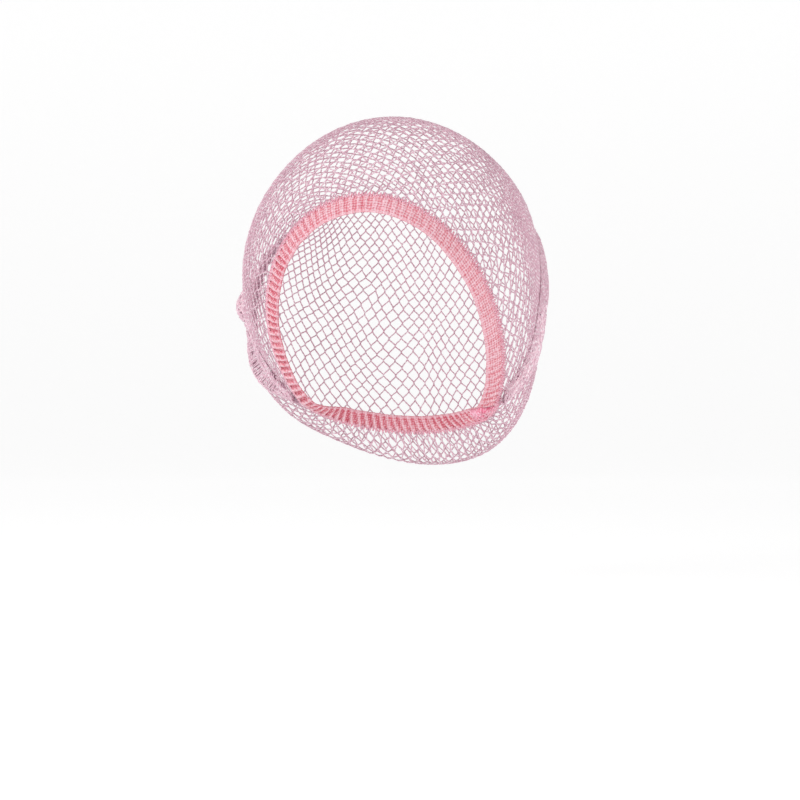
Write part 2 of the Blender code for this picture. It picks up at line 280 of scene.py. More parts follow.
class Tubes:
    """Gathers many closed tubes into one mesh."""

    def __init__(self, sides):
        self.sides = sides
        self.points, self.quads, self.caps, self.uv, self.tone = [], [], [], [], []
        self.count = 0

    def add(self, path, normal, radius, tone, phase):
        """A tube along a path; tone is one number, or one for each point of the path."""
        n = len(path)
        tangent = normalised(np.gradient(path, axis=0))
        normal = normalised(normal - tangent * (normal * tangent).sum(axis=1, keepdims=True))
        side = np.cross(tangent, normal)
        angles = np.arange(self.sides) * 2 * math.pi / self.sides
        radius = np.broadcast_to(np.asarray(radius, float), (n,))
        ring = normal[:, None] * np.cos(angles)[:, None] + side[:, None] * np.sin(angles)[:, None]
        points = path[:, None] + ring * radius[:, None, None]
        index = self.count + np.arange(n * self.sides).reshape(n, self.sides)
        after = np.roll(index, -1, axis=1)
        quads = np.stack([index[:-1], after[:-1], after[1:], index[1:]], axis=-1)
        self.quads.append(quads.reshape(-1, 4))
        self.caps.append(index[:1, ::-1])
        self.caps.append(index[-1:])
        u = np.broadcast_to((path_distance(path) / PLY_TURN + phase)[:, None], (n, self.sides))
        v = np.broadcast_to(np.abs(np.arange(self.sides) / self.sides - 0.5) * 2, (n, self.sides))
        self.uv.append(np.stack([u, v], axis=-1).reshape(-1, 2))
        tone = np.broadcast_to(np.reshape(np.asarray(tone, float), (-1, 1)), (n, 3))
        self.tone.append(np.repeat(tone, self.sides, axis=0))
        self.points.append(points.reshape(-1, 3))
        self.count += n * self.sides

    def build(self, name):
        return make_object(
            name,
            np.concatenate(self.points),
            [np.concatenate(self.quads), np.concatenate(self.caps)],
            np.concatenate(self.uv),
            np.concatenate(self.tone),
        )


def loft_faces(rows, columns, closed_rows):
    """Quads of a grid of points whose rows are closed rings of columns."""
    index = np.arange(rows * columns).reshape(rows, columns)
    below = np.roll(index, -1, axis=0)
    if not closed_rows:
        index, below = index[:-1], below[:-1]
    after, below_after = np.roll(index, -1, axis=1), np.roll(below, -1, axis=1)
    return np.stack([index, after, below_after, below], axis=-1).reshape(-1, 4)


def closed_strip(name, top, foot, tone_top, tone_foot, length, width):
    """Closed piece from the grids of its top and its foot, with the knit's uv and a red tone."""
    rows, columns = top.shape[:2]
    grid = np.concatenate([top, foot[:, ::-1][:, 1:-1]], axis=1)
    around = grid.shape[1]
    shade = np.concatenate([tone_top, np.full((rows, columns - 2), tone_foot)], axis=1)
    tone = np.stack([shade, 0 * shade, 0 * shade], axis=-1)
    first_cap = np.arange(around)[None, ::-1]
    last_cap = (np.arange(around) + (rows - 1) * around)[None]
    run = np.linspace(0, 1, rows)[:, None] * length / STITCH_ALONG
    across = np.arange(around)[None] * width / columns / STITCH_ACROSS
    uv = np.stack(np.broadcast_arrays(run, across), axis=-1)
    faces = [loft_faces(rows, around, False), first_cap, last_cap]
    return make_object(name, grid.reshape(-1, 3), faces, uv.reshape(-1, 2), tone.reshape(-1, 3))


# Materials

def new_material(name):
    made = bpy.data.materials.new(name)
    made.use_nodes = True
    return made, made.node_tree.nodes, made.node_tree.links, made.node_tree.nodes["Principled BSDF"]


def link_or_set(links, socket, value):
    if isinstance(value, (int, float)):
        socket.default_value = value
    elif isinstance(value, tuple):
        socket.default_value = (*value, 1)
    else:
        links.new(value, socket)


def maths(nodes, links, operation, *values):
    """Output of a math node; each value is a number or a socket."""
    made = nodes.new("ShaderNodeMath")
    made.operation = operation
    for socket, value in zip(made.inputs, values):
        link_or_set(links, socket, value)
    return made.outputs[0]


def ramp(nodes, links, value, stops):
    """Colour of a ramp with stops of a place and a colour or a grey."""
    made = nodes.new("ShaderNodeValToRGB")
    elements = made.color_ramp.elements
    while len(elements) < len(stops):
        elements.new(0.5)
    for element, (place, colour) in zip(elements, stops):
        element.position = place
        element.color = (*colour, 1) if isinstance(colour, tuple) else (colour, colour, colour, 1)
    links.new(value, made.inputs["Fac"])
    return made.outputs["Color"]


def mix_colour(nodes, links, factor, first, second):
    made = nodes.new("ShaderNodeMix")
    made.data_type = "RGBA"
    sockets = made.inputs["Factor"], made.inputs[6], made.inputs[7]
    for socket, value in zip(sockets, (factor, first, second)):
        link_or_set(links, socket, value)
    return made.outputs[2]


def noise(nodes, links, scale, detail):
    """Noise node in the object's own metres, scale in cells to the metre."""
    place = nodes.new("ShaderNodeTexCoord")
    made = nodes.new("ShaderNodeTexNoise")
    made.inputs["Scale"].default_value = scale
    made.inputs["Detail"].default_value = detail
    links.new(place.outputs["Object"], made.inputs["Vector"])
    return made


def tone_parts(nodes, links):
    """Red, green and blue of the mesh's tone."""
    tone = nodes.new("ShaderNodeAttribute")
    tone.attribute_name = "tone"
    parts = nodes.new("ShaderNodeSeparateColor")
    links.new(tone.outputs["Color"], parts.inputs["Color"])
    return parts.outputs


def mesh_uv(nodes):
    made = nodes.new("ShaderNodeUVMap")
    made.uv_map = "UVMap"
    return made.outputs["UV"]


def dress_shader(nodes, links, shader, colour, relief, uniform, bump_strength, bump_distance):
    """Colour, relief and the numbers that are the same all over the surface."""
    links.new(colour, shader.inputs["Base Color"])
    for socket, value in uniform.items():
        shader.inputs[socket].default_value = value
    bump = nodes.new("ShaderNodeBump")
    bump.inputs["Strength"].default_value = bump_strength
    bump.inputs["Distance"].default_value = bump_distance
    links.new(relief, bump.inputs["Height"])
    links.new(bump.outputs["Normal"], shader.inputs["Normal"])


def halfway(first, second):
    return tuple((a + b) / 2 for a, b in zip(first, second))


def yarn_material(name, pale, mid, deep, roughness, sheen):
    """Two-ply twisted yarn: ply stripes round each strand, flecks, and a fuzzy sheen."""
    made, nodes, links, shader = new_material(name)
    split = nodes.new("ShaderNodeSeparateXYZ")
    links.new(mesh_uv(nodes), split.inputs["Vector"])
    half_round = maths(nodes, links, "MULTIPLY", split.outputs["Y"], 0.5)
    turn = maths(nodes, links, "ADD", split.outputs["X"], half_round)
    angle = maths(nodes, links, "MULTIPLY", turn, 2 * math.pi)
    ply = nodes.new("ShaderNodeMapRange")
    ply.inputs["From Min"].default_value = -1
    links.new(maths(nodes, links, "SINE", angle), ply.inputs["Value"])
    ply = ply.outputs["Result"]
    striped = ramp(nodes, links, ply, [(0.12, mid), (0.50, halfway(mid, pale)), (0.85, pale)])
    fleck = noise(nodes, links, scale=620, detail=3).outputs["Fac"]
    flecked = mix_colour(nodes, links, ramp(nodes, links, fleck, [(0.40, 0), (0.62, 1)]), striped, mid)
    shaded = mix_colour(nodes, links, tone_parts(nodes, links)["Red"], deep, flecked)
    uniform = {
        "Roughness": roughness,
        "Sheen Weight": sheen,
        "Sheen Roughness": 0.45,
        "Specular IOR Level": 0.25,
    }
    dress_shader(nodes, links, shader, shaded, ply, uniform, bump_strength=0.55, bump_distance=0.00025)
    return made


def knit_material(name, pale, mid, deep, roughness, sheen, loops=0.75):
    """Close elastic knit: staggered pale loops on a ground with painted shade in the rib valleys and the
    stitch pits.

    The tone's red is the height of the ground and sets its painted shade, green the bound edge and blue a
    painted highlight on the ribs.
    """
    made, nodes, links, shader = new_material(name)
    parts = tone_parts(nodes, links)
    moved = nodes.new("ShaderNodeVectorMath")
    moved.operation = "MULTIPLY_ADD"
    links.new(noise(nodes, links, scale=420, detail=1).outputs["Color"], moved.inputs[0])
    moved.inputs[1].default_value = (1.1, 1.1, 0)
    links.new(mesh_uv(nodes), moved.inputs[2])
    split = nodes.new("ShaderNodeSeparateXYZ")
    links.new(moved.outputs["Vector"], split.inputs["Vector"])
    waves = []
    for operation in ("ADD", "SUBTRACT"):
        diagonal = maths(nodes, links, operation, split.outputs["X"], split.outputs["Y"])
        waves.append(maths(nodes, links, "SINE", maths(nodes, links, "MULTIPLY", diagonal, math.pi)))
    knit = maths(nodes, links, "MULTIPLY", *waves)
    fleck = noise(nodes, links, scale=900, detail=2).outputs["Fac"]
    broad = noise(nodes, links, scale=160, detail=2).outputs["Fac"]
    # painted shade: the ground runs to the deep colour where the red tone is low, in the rib valleys; the
    # broad noise adds random tone
    height = maths(nodes, links, "MULTIPLY_ADD", broad, 0.5, parts["Red"])
    ground = ramp(nodes, links, height, [(0.22, deep), (0.62, mid), (1.0, halfway(mid, pale))])
    loop = maths(nodes, links, "MULTIPLY_ADD", knit, 0.42, fleck)
    # the pale loops thin out where the red tone is low, along with the painted shade of the valleys
    raised = maths(nodes, links, "MULTIPLY_ADD", parts["Red"], 0.24, loop)
    spots = ramp(nodes, links, raised, [(0.58, 0), (0.94, loops)])
    # painted shade: the pits between the stitches are mixed towards the deep colour
    painted_pit_shade = ramp(nodes, links, loop, [(0.22, 0.6), (0.42, 0)])
    looped = mix_colour(nodes, links, spots, ground, pale)
    pitted = mix_colour(nodes, links, painted_pit_shade, looped, deep)
    bound = mix_colour(nodes, links, parts["Green"], pitted, pale)
    # painted highlight: the blue tone mixes the colour towards near white
    lit = mix_colour(nodes, links, parts["Blue"], bound, halfway(pale, (1, 1, 1)))
    uniform = {
        "Roughness": roughness,
        "Sheen Weight": sheen,
        "Sheen Roughness": 0.5,
        "Specular IOR Level": 0.2,
    }
    dress_shader(nodes, links, shader, lit, loop, uniform, bump_strength=0.7, bump_distance=0.0007)
    return made


# name: pale, mid and deep colour, roughness, sheen
NET_YARN = yarn_material(
    "net_yarn", (0.93, 0.83, 0.87), (0.71, 0.44, 0.53), (0.38, 0.17, 0.25), 0.62, 0.06)
# painted light: the seam strands are the net's yarn made paler, for the strips that face away from the key
# lamp
SEAM_YARN_PAINTED_LIGHT = yarn_material(
    "seam_yarn_painted_light", (0.94, 0.84, 0.88), (0.80, 0.54, 0.63), (0.44, 0.20, 0.28), 0.68, 0.08)
TUFT_YARN = yarn_material(
    "tuft_yarn", (0.97, 0.90, 0.93), (0.90, 0.63, 0.71), (0.55, 0.25, 0.34), 0.66, 0.08)
BAND_YARN = yarn_material(
    "band_yarn", (0.92, 0.70, 0.78), (0.82, 0.38, 0.47), (0.60, 0.14, 0.22), 0.66, 0.06)
# painted shade: the packed net under the seam strands is the net's yarn colour darkened
SEAM_CLOTH_PAINTED_SHADE = knit_material(
    "seam_cloth_painted_shade", (0.80, 0.60, 0.68), (0.54, 0.28, 0.38), (0.27, 0.09, 0.16), 0.80, 0.08, loops=0.5)
BAND_KNIT = knit_material(
    "band_knit", (0.90, 0.63, 0.70), (0.76, 0.27, 0.32), (0.60, 0.10, 0.15), 0.72, 0.06)
# painted light: the bunch is the band's knit made brighter, as where it catches the light
JOIN_KNIT_PAINTED_LIGHT = knit_material(
    "join_knit_painted_light", (0.93, 0.58, 0.69), (0.86, 0.26, 0.38), (0.64, 0.08, 0.16), 0.72, 0.06)


# Fine net

LAST_A = 2 * DIAMONDS_ACROSS
LAST_B = 2 * DIAMONDS_ALONG
CROSSING_JITTER = 0.055     # spread of the crossings' places, in lattice steps
WANDER_CELL = 9             # lattice steps to one cell of the slow wander
WANDER_REACH = 0.55
jitter_a = random.normal(0, CROSSING_JITTER, (LAST_A + 1, LAST_B + 1))
jitter_b = random.normal(0, CROSSING_JITTER, (LAST_A + 1, LAST_B + 1))
for table in (jitter_a, jitter_b):
    table[[0, -1], :] = 0
    table[:, [0, -1]] = 0

# along the way from one crossing to the next: share of a, share of b, lift over or under
STRAND_STEPS = (
    (0.00, 0.00, 1.0),
    (0.04, 0.13, 0.7),
    (0.30, 0.36, 0.1),
    (0.50, 0.50, 0.0),
    (0.70, 0.64, 0.1),
    (0.96, 0.87, 0.7),
)
CROSSING_LIFT = 0.00022


def lattice_uv(a, b):
    """Bag's u and v of a place in the lattice, whose steps are half diamonds."""
    across = a / DIAMONDS_ACROSS - 1
    u = np.sign(across) * np.abs(across)**CENTRE_CROWDING
    return np.clip(u, -1, 1), np.clip(b / LAST_B, 0, 1)


def warp(a, b):
    """Slow wander of the lattice, which dies out at the rim and the seams."""
    place = np.stack([a / WANDER_CELL, b / WANDER_CELL], axis=-1)
    from_seam = np.clip(np.minimum(a, LAST_A - a) / 6, 0, 1)
    from_rim = np.clip(np.minimum(b, LAST_B - b) / 5, 0, 1)
    reach = WANDER_REACH * from_seam * from_rim
    return hash_noise(place, 1, 3) * reach, hash_noise(place, 1, 8) * reach


def strand_path(a0, b0, way, count):
    """Points of a strand that starts at a lattice place and climbs in v, way is its turn in u."""
    a_knots = a0 + way * np.arange(count + 1)
    b_knots = b0 + np.arange(count + 1)
    ja = jitter_a[a_knots, b_knots]
    jb = jitter_b[a_knots, b_knots]
    a_list, b_list, lift_list = [], [], []
    for a_share, b_share, lift in STRAND_STEPS:
        a_list.append(a_knots[:-1] + way * a_share + ja[:-1] * (1 - a_share) + ja[1:] * a_share)
        b_list.append(b_knots[:-1] + b_share + jb[:-1] * (1 - b_share) + jb[1:] * b_share)
        sign = np.where((b_knots[:-1] + (1 if b_share > 0.5 else 0)) % 2 == 0, way, -way)
        lift_list.append(lift * sign)
    a = np.append(np.stack(a_list, axis=1).ravel(), a_knots[-1] + ja[-1])
    b = np.append(np.stack(b_list, axis=1).ravel(), b_knots[-1] + jb[-1])
    lift = np.append(np.stack(lift_list, axis=1).ravel(), 0)
    shift_a, shift_b = warp(a, b)
    return a + shift_a, b + shift_b, lift


def net_piece(name, b_from, b_to):
    """The strands of the rows between two places b of the lattice."""
    tubes = Tubes(STRAND_SIDES)
    starts = []
    for way in (1, -1):
        for a in range(LAST_A + 1):
            if (a + b_from) % 2 == 0:
                starts.append((a, b_from, way))
        edge = 0 if way == 1 else LAST_A
        for b in range(b_from + 1, b_to):
            if (edge + b) % 2 == 0:
                starts.append((edge, b, way))
    for a0, b0, way in starts:
        room = LAST_A - a0 if way == 1 else a0
        count = min(room, b_to - b0)
        if count < 1:
            continue
        a, b, lift = strand_path(a0, b0, way, count)
        u, v = lattice_uv(a, b)
        points = bag(u, v)
        normal = bag_normal(u, v)
        points = points + normal * (lift * CROSSING_LIFT)[:, None]
        place = np.stack([a, b], axis=-1)
        radius = STRAND_RADIUS * (1 + 0.16 * hash_noise(place, 1.7, 21))
        shade = np.clip(0.86 + 0.14 * hash_noise(place, 0.8, 5), 0, 1)
        tubes.add(points, normal, radius, shade, phase=random.random())
    made = tubes.build(name)
    made.data.materials.append(NET_YARN)
    return made


net_front = net_piece("crown_net_front", 0, DIAMONDS_ALONG)
net_back = net_piece("crown_net_back", DIAMONDS_ALONG, LAST_B)


# Band

def smoothed(values, distance, reach):
    """Mean of values round the closed loop, weighted over a reach each way."""
    length = distance[-1]
    offsets = distance[:-1, None] - distance[None, :-1]
    offsets = np.abs((offsets + length / 2) % length - length / 2)
    weights = np.clip(1 - offsets / reach, 0, None)
    return weights @ values / weights.sum(axis=1, keepdims=True)


def band_loop():
    """The rim: distance, points, outward directions and directions away from the net."""
    half = LOOP_SAMPLES // 2
    forth = np.linspace(-1, 1, half, endpoint=False)
    u = np.concatenate([forth, -forth])
    v = np.concatenate([np.zeros(half), np.ones(half)])
    points = bag(u, v)
    closed = np.vstack([points, points[:1]])
    distance = path_distance(closed)
    outward = normalised(smoothed(bag_normal(u, v), distance, BAND_TURN))
    tangent = normalised(np.roll(points, -1, axis=0) - np.roll(points, 1, axis=0))
    away = normalised(smoothed(normalised(np.cross(tangent, outward)), distance, BAND_TURN))
    outward = normalised(outward - away * (outward * away).sum(axis=1, keepdims=True))
    return distance, points, outward, away


LOOP = band_loop()
LOOP_LENGTH = LOOP[0][-1]
LEFT_CORNER = LOOP[0][LOOP_SAMPLES // 2]


def along_loop(places):
    """Points, outward directions and directions away from the net at distances along the rim."""
    distance, *columns = LOOP
    places = np.asarray(places, float) % distance[-1]
    found = []
    for column in columns:
        closed = np.vstack([column, column[:1]])
        found.append(np.stack([np.interp(places, distance, closed[:, k]) for k in range(3)], axis=-1))
    points, outward, away = found
    return points, normalised(outward), normalised(away)


# share of the loop from the right corner, over the brow, to the left corner, and back by the nape:
# depth of the ribs, slant of the ribs in pitches across the band
RIB_ROWS = (
    (0.00, 1.00, 0.9),
    (0.12, 1.00, 0.9),
    (0.20, 0.90, 0.8),
    (0.27, 0.50, 0.5),
    (0.34, 0.34, 0.3),
    (0.42, 0.12, 0.3),
    (0.60, 0.06, 0.5),
    (0.68, 0.50, 0.6),
    (0.80, 0.80, 0.7),
    (1.00, 1.00, 0.9),
)

BAND_SECTION_POINTS = 21    # across the face of the band
BAND_ROW_STEP = 0.00048
BAND_INSET = 0.0002         # from the net's rim to the band's edge on it
RIB_DEPTH = 0.0019
WHIP_PITCH = 0.0021
BOUND_EDGE = 0.955          # middle of the bound free edge, as a share of the width
WHIP_YARN_RADIUS = 0.00042


def band_piece():
    """The ribbed knit: c runs across it from 0 at the net to 1 at the free edge, s along it."""
    rows = int(round(LOOP_LENGTH / BAND_ROW_STEP))
    places = np.arange(rows) * LOOP_LENGTH / rows
    points, outward, away = along_loop(places)
    top = (1 - np.cos(np.linspace(0, math.pi, BAND_SECTION_POINTS))) / 2
    top = 0.55 * top + 0.45 * np.linspace(0, 1, BAND_SECTION_POINTS)
    bottom = top[::-1][1:-1][::2]
    columns = np.concatenate([top, bottom])
    on_face = np.arange(len(columns)) < len(top)
    width = BAND_WIDTH + CLEARANCE - BAND_INSET
    s, c = np.meshgrid(places, columns, indexing="ij")
    turn = s / LOOP_LENGTH
    depth = linear(RIB_ROWS, 1, turn)
    slant = linear(RIB_ROWS, 2, turn)
    depth = np.clip(depth * (1 + 0.45 * hash_noise((s / 0.011)[..., None], 1, 37)), 0, 1)
    ribs = round(LOOP_LENGTH / RIB_PITCH)
    drift = 0.16 * hash_noise(np.stack([s / 0.012, c * 0.8], axis=-1), 1, 31)
    phase = ribs * turn - slant * c + drift
    phase = phase + 0.07 * np.sin(2 * math.pi * phase)
    rib = (0.5 + 0.5 * np.cos(2 * math.pi * phase))**0.85
    dome = np.clip(1 - np.abs(2 * c - 1)**3.2, 0, 1)
    stitch_s = s / STITCH_ALONG
    stitch_c = c * width / STITCH_ACROSS
    stitch = np.sin(math.pi * (stitch_s + stitch_c)) * np.sin(math.pi * (stitch_s - stitch_c))
    crumb = hash_noise(np.stack([s, c * width], axis=-1), 1300, 41)
    low, high = BAND_VALLEY / 2, BAND_CREST / 2
    height = low * (0.35 + 0.65 * dome) * (1 - 0.35 * depth)
    height += (high - low) * (1 - depth) * 0.5 * dome
    height += RIB_DEPTH * depth * rib * dome
    height += (0.00016 * stitch + 0.00008 * crumb) * np.clip(dome * 2, 0.4, 1)
    edge = np.exp(-((c - BOUND_EDGE) / 0.034)**2)
    whip = 0.6 + 0.4 * np.sin(2 * math.pi * s / WHIP_PITCH)
    height += edge * 0.00042 * whip
    height = np.where(on_face, height, -low * (0.5 + 0.5 * dome) - 0.00006 * crumb)
    sway = 0.00030 * hash_noise((s / 0.009)[..., None], 1, 51)
    pinch = 0.00035 * depth * (rib - 0.5)
    offset = BAND_INSET + c * width + sway + pinch * (2 * c - 1)
    grid = points[:, None] + away[:, None] * offset[..., None] + outward[:, None] * height[..., None]
    # painted shade: the red tone drops in the rib valleys, more towards the free edge, and is a low 0.34
    # on the band's inner side
    rib_tone_painted_shade = 0.82 * rib * depth + (1 - depth) * (0.68 + 0.26 * (rib - 0.5))
    rib_tone_painted_shade = np.clip(rib_tone_painted_shade - 0.28 * depth * (1 - rib) * c, 0, 1)
    rib_tone_painted_shade = np.where(on_face, rib_tone_painted_shade, 0.34)
    bound = np.clip(edge * (0.45 + 0.35 * whip), 0, 1) * on_face
    # painted highlight: the net side of each rib's crest gets a blue tone, which the knit mixes towards
    # white
    painted_rib_highlight = depth * rib**2 * np.clip(1.05 - 1.2 * c, 0, 1) * (0.55 + 0.25 * crumb) * on_face
    tone = np.stack([rib_tone_painted_shade, bound, np.clip(painted_rib_highlight, 0, 1)], axis=-1).reshape(-1, 3)
    uv = np.stack([stitch_s, stitch_c], axis=-1).reshape(-1, 2)
    faces = [loft_faces(rows, len(columns), True)]
    made = make_object("elastic_band_knit", grid.reshape(-1, 3), faces, uv, tone)
    made.data.materials.append(BAND_KNIT)
    return made


band = band_piece()


def band_stitching():
    """Net side edge of the band: a whip stitch of yarn loops that holds the net."""
    tubes = Tubes(5)
    count = int(round(LOOP_LENGTH / WHIP_PITCH))
    for i in range(count):
        t = np.linspace(0, 1, 7)
        places = (i + 0.15 + 0.9 * t) * LOOP_LENGTH / count
        points, outward, away = along_loop(places)
        across = -0.0011 + 0.0034 * np.sin(math.pi * t)**0.8
        height = BAND_VALLEY / 2 * np.clip((across + 0.0009) / 0.0012, 0.1, 0.75) + 0.00038
        path = points + away * across[:, None] + outward * height[:, None]
        tubes.add(path, outward, WHIP_YARN_RADIUS, 0.9, phase=i * 0.37)
    made = tubes.build("elastic_band_stitching")
    made.data.materials.append(BAND_YARN)
    return made


stitching = band_stitching()


# Side seams

def seam_row(w):
    """The front row v whose end lies at the place w along the seam."""
    rows = np.linspace(0, 0.5, LOOP_SAMPLES)
    return np.interp(w, seam_share(rows), rows)


def beside_seam(side, w, across):
    """Points and normals of the net at distances across from the seam, front negative."""
    w, across = np.broadcast_arrays(np.asarray(w, float), np.asarray(across, float))
    v = seam_row(w)
    v = np.where(across > 0, 1 - v, v)
    edge = bag(side, v)
    speed = np.linalg.norm(edge - bag(side * 0.998, v), axis=-1) / 0.002
    u = side * (1 - np.abs(across) / speed)
    return bag(u, v), bag_normal(u, v)


def gather_profile(x):
    """Height share of the gathers at x from -1 to 1 across them."""
    return np.clip(1 - np.abs(x)**2.6, 0, 1)**0.75


def gather_place(side, w, x, up, height_column, height_size):
    """Point over the seam strip: x from -1 to 1 across it, up from 0 at the net to 1 on its back."""
    half_width = spline(GATHER_ROWS, 1, w) * GATHER_WIDTH / 2
    height = spline(GATHER_ROWS, height_column, w) * height_size
    point, normal = beside_seam(side, w, x * half_width)
    lift = NET_THICKNESS / 2 + gather_profile(x) * height * up
    return point + normal * np.asarray(lift)[..., None], normal


GATHER_ENDS = GATHER_ROWS[0][0], GATHER_ROWS[-1][0]
CORE_ROWS, CORE_COLUMNS = 170, 15
LONG_STRANDS = 46           # loose strands that run along one strip
LONG_STRAND_RADIUS = 0.00054
CROSS_STRAND_STEP = 0.0016  # between the strands that come in from both sides
CROSS_STRAND_RADIUS = 0.00046
LOOSE_LOOP_RADIUS = 0.00056


def gather_core(side, label, height_column, height_size, standing, seed, length):
    """Packed net under the loose strands."""
    w, x = np.meshgrid(
        np.linspace(*GATHER_ENDS, CORE_ROWS), np.linspace(-0.94, 0.94, CORE_COLUMNS), indexing="ij")
    wobble = hash_noise(np.stack([w * length / 0.0035, x * 2.2], axis=-1), 1, seed)
    fine = hash_noise(np.stack([w * length / 0.0013, x * 5], axis=-1), 1, seed + 1)
    up = standing - 0.18 + 0.20 * wobble + 0.10 * fine
    top, _ = gather_place(side, w, x, up, height_column, height_size)
    foot, foot_normal = gather_place(side, w, x, 0 * up, height_column, height_size)
    # painted shade: the tone follows the same noise as the height, so the low places of the packed net are
    # darker
    tone = np.clip(0.45 + 0.45 * wobble + 0.35 * fine, 0, 1)
    core = closed_strip(
        "seam_core_" + label, top, foot + foot_normal * 0.0001, tone, 0.7, length, GATHER_WIDTH)
    core.data.materials.append(SEAM_CLOTH_PAINTED_SHADE)
    return core


def gathers(side, label, height_column, height_size, standing, seed):
    """Core of a side seam and the loose strands over it."""
    first, last = GATHER_ENDS
    line = bag(side, seam_row(np.linspace(first, last, 80)))
    length = path_distance(line)[-1]
    core = gather_core(side, label, height_column, height_size, standing, seed, length)
    tubes = Tubes(5)
    generator = np.random.default_rng(seed)
    t = np.linspace(0, 1, int(length / 0.0011))
    for k in range(LONG_STRANDS):
        begin = first + (last - first) * generator.uniform(0, 0.25) * (k % 3 > 0)
        end = last - (last - first) * generator.uniform(0, 0.45) * (k % 2)
        w = begin + (end - begin) * t
        place = generator.uniform(-0.92, 0.92)
        turn = generator.uniform(0, 100)
        x = place + 0.34 * wander(t * length / 0.0075 + turn, k, seed + 3)
        x += 0.16 * wander(t * length / 0.0028 + turn, k, seed + 4)
        x = np.clip(x, -0.97, 0.97)
        up = standing + 0.30 * wander(t * length / 0.0045 + turn, k + 50, seed + 5)
        w += 0.010 * wander(t * length / 0.0040 + turn, k + 90, seed + 6)
        w = np.clip(w, first, last)
        points, normal = gather_place(side, w, x, up, height_column, height_size)
        shade = np.clip(0.80 + 0.25 * hash_noise((t * 40 + turn)[:, None], 1, seed + 7), 0.2, 1)
        tubes.add(points, normal, LONG_STRAND_RADIUS, shade, phase=turn)
    count = int(length / CROSS_STRAND_STEP)
    for k in range(count):
        middle = first + (last - first) * (k + generator.uniform(-0.4, 0.4)) / count
        reach = generator.uniform(0.75, 1.25, 2)
        x = np.linspace(-reach[0], reach[1], 15)
        lean = generator.uniform(-0.03, 0.03)
        w = np.clip(middle + lean * x + 0.006 * wander(x * 3, k, seed + 8), first, last)
        up = standing + 0.06 + 0.20 * wander(x * 3 + 7, k, seed + 9)
        points, normal = gather_place(side, w, x, up, height_column, height_size)
        shade = generator.uniform(0.6, 1.0)
        tubes.add(points, normal, CROSS_STRAND_RADIUS, shade, phase=k * 0.61)
    strands = tubes.build("seam_strands_" + label)
    strands.data.materials.append(SEAM_YARN_PAINTED_LIGHT)
    return core, strands


left_core, left_strands = gathers(1, "left", 2, GATHER_HEIGHT, 0.92, 61)
right_core, right_strands = gathers(-1, "right", 3, TUFT_HEIGHT, 0.66, 83)


def loose_loops(name, side, count, spot, limits, foot, height_column, height_size, seed):
    """Loose loops of net that stand out of a seam; spot is their middle and spread in w."""
    tubes = Tubes(6)
    generator = np.random.default_rng(seed)
    t = np.linspace(0, 1, 17)
    for k in range(count):
        middle = np.clip(generator.normal(*spot), *limits)
        reach = generator.uniform(0.015, 0.045)
        swing = generator.uniform(-0.5, 0.5)
        place = generator.uniform(-0.75, 0.75)
        x = np.clip(place + swing * (t - 0.5) + 0.10 * np.sin(3 * math.pi * t + k), -0.95, 0.95)
        w = middle + reach * np.sin(math.pi * (t - 0.5)) * (1 + 0.3 * np.sin(5 * t + k))
        up = foot + generator.uniform(0.15, 0.36) * np.sin(math.pi * t)
        points, normal = gather_place(side, w, x, up, height_column, height_size)
        tubes.add(points, normal, LOOSE_LOOP_RADIUS, 0.95, phase=k * 0.43)
    made = tubes.build(name)
    made.data.materials.append(TUFT_YARN)
    return made


tuft = loose_loops(
    "seam_tuft_right", -1, 60, (0.570, 0.060), (0.44, 0.72), 0.58, 3, TUFT_HEIGHT, 19)
left_loops = loose_loops(
    "seam_loops_left", 1, 90, (0.22, 0.11), (0.10, 0.42), 0.80, 2, GATHER_HEIGHT, 29)


# Join of the band behind the left ear

JOIN_GRID = 110, 30
JOIN_FOOT = BAND_CREST / 2 + 0.0001
JOIN_MIDDLE = CLEARANCE + BAND_WIDTH / 2
JOIN_LOOPS = 46
JOIN_LOOP_RADIUS = 0.00040


def join_folds():
    """Crumpled bunch: t runs along it, x across it as shares of its half width."""
    rows, columns = JOIN_GRID
    t, x = np.meshgrid(np.linspace(0, 1, rows), np.linspace(-1, 1.5, columns), indexing="ij")
    places = LEFT_CORNER + JOIN_START - 0.0005 + t[:, 0] * (JOIN_LENGTH + 0.001)
    points, outward, away = along_loop(places)
    bend = hash_noise(np.stack([t * 5, x * 1.1], axis=-1), 1, 11) * 0.035 + 0.03 * x
    folded = np.clip(t + bend * np.clip(np.minimum(t, 1 - t) / 0.1, 0, 1), 0, 1)
    fold = spline(JOIN_ROWS, 1, folded)
    half = spline(JOIN_ROWS, 2, t) * BAND_WIDTH / 2
    small = hash_noise(np.stack([t * 22, x * 5], axis=-1), 1, 17)
    crumb = hash_noise(np.stack([t * 60, x * 14], axis=-1), 1, 18)
    profile = linear(JOIN_SECTION, 1, x)
    height = JOIN_HEIGHT * profile * (fold + 0.10 * small * profile) + 0.00015 * crumb * profile
    swing = 0.0006 * wander(t * 10, 0, 23)
    flat = points[:, None] + away[:, None] * (JOIN_MIDDLE + x * half + swing)[..., None]
    top = flat + outward[:, None] * (JOIN_FOOT + height)[..., None]
    foot = flat + outward[:, None] * (JOIN_FOOT - 0.0006)
    # painted shade: the red tone follows the folds' height, so the creases between them are darker, and
    # the foot of the bunch gets a low tone of 0.3
    tone = np.clip(0.02 + 0.85 * np.clip(fold, 0, 1) + 0.25 * small, 0, 1)
    made = closed_strip("band_join_folds", top, foot, tone, 0.3, JOIN_LENGTH, BAND_WIDTH)
    made.data.materials.append(JOIN_KNIT_PAINTED_LIGHT)
    return made


